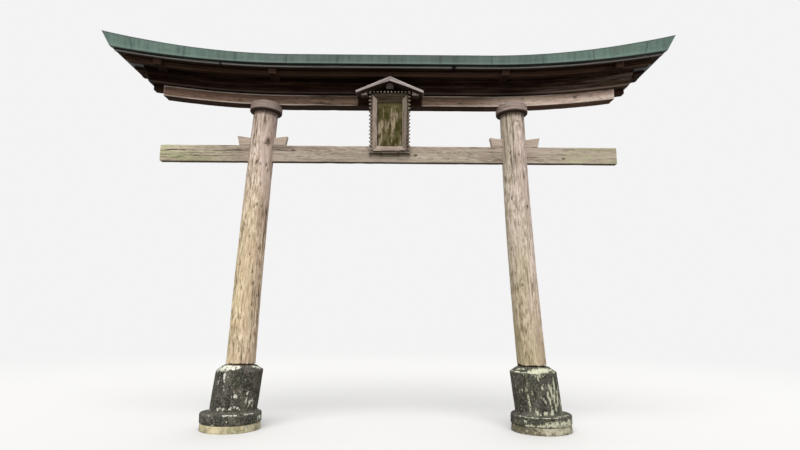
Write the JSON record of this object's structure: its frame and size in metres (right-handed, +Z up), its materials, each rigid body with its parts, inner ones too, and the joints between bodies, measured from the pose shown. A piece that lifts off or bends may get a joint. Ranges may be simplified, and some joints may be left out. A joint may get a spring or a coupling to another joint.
{
  "type": "torii gate",
  "caption": "Weathered wooden torii gate: leaning log pillars on stone bases, a tie beam with wedges, rising lintels, a copper-clad roofed top beam and a bare hooded tablet.",
  "frame": {"origin": "on the ground, midway between the two footings and midway between front and back", "axes": "+X to the right seen from the front, +Y towards the back, the front with the tablet faces -Y, +Z up"},
  "size_m": [4.9626, 0.66, 3.3992],
  "materials": {
    "footing_concrete": "pale, lichen-stained concrete",
    "base_stone": "near-black rough stone with pale lichen",
    "pillar_log": "weathered bare log with long drying checks",
    "cap_ring": "weathered end-grain ring",
    "beam_wood": "weathered sawn timber, grey-tan",
    "lintel_wood": "weathered sawn timber, warm grey-brown",
    "dark_wood": "sheltered dark brown timber",
    "purlin_wood": "weathered sawn timber",
    "drip_board": "pale grey weathered board",
    "copper_sheet": "copper sheet with a dull grey-green patina",
    "tablet_frame": "weathered carved timber",
    "tablet_panel": "weathered board with olive moss, bare",
    "hood_wood": "pale weathered boards",
    "iron": "dull rusted iron"
  },
  "bodies": {
    "root": {"footing_left": "footing_concrete", "footing_right": "footing_concrete", "base_stone_left": "base_stone", "base_stone_right": "base_stone", "pillar_left": "pillar_log", "pillar_right": "pillar_log", "cap_ring_left": "cap_ring", "cap_ring_right": "cap_ring", "tie_beam": "beam_wood", "wedge_left_outer": "beam_wood", "wedge_left_inner": "beam_wood", "wedge_right_inner": "beam_wood", "wedge_right_outer": "beam_wood", "lower_lintel": "lintel_wood", "upper_lintel": "dark_wood", "bracket_arm_left_outer": "dark_wood", "bracket_arm_left_inner": "dark_wood", "bracket_arm_right_inner": "dark_wood", "bracket_arm_right_outer": "dark_wood", "eaves_purlin_front": "purlin_wood", "eaves_purlin_back": "purlin_wood", "soffit_front": "dark_wood", "soffit_back": "dark_wood", "drip_board_front": "drip_board", "drip_board_back": "drip_board", "copper_edge_front": "copper_sheet", "copper_edge_back": "copper_sheet", "copper_roof_front": "copper_sheet", "copper_roof_back": "copper_sheet", "ridge_cap": "copper_sheet", "centre_strut": "beam_wood", "tablet_panel": "tablet_panel", "tablet_rail_top": "tablet_frame", "tablet_rail_bottom": "tablet_frame", "tablet_rail_left": "tablet_frame", "tablet_rail_right": "tablet_frame", "tablet_backboard": "dark_wood", "tablet_hooks": "iron", "tablet_stays": "iron", "hood_ridge_beam": "hood_wood", "hood_purlins": "hood_wood", "hood_board_left": "hood_wood", "hood_board_right": "hood_wood", "hood_bargeboard_left": "hood_wood", "hood_bargeboard_right": "hood_wood"}
  },
  "joints": []
}
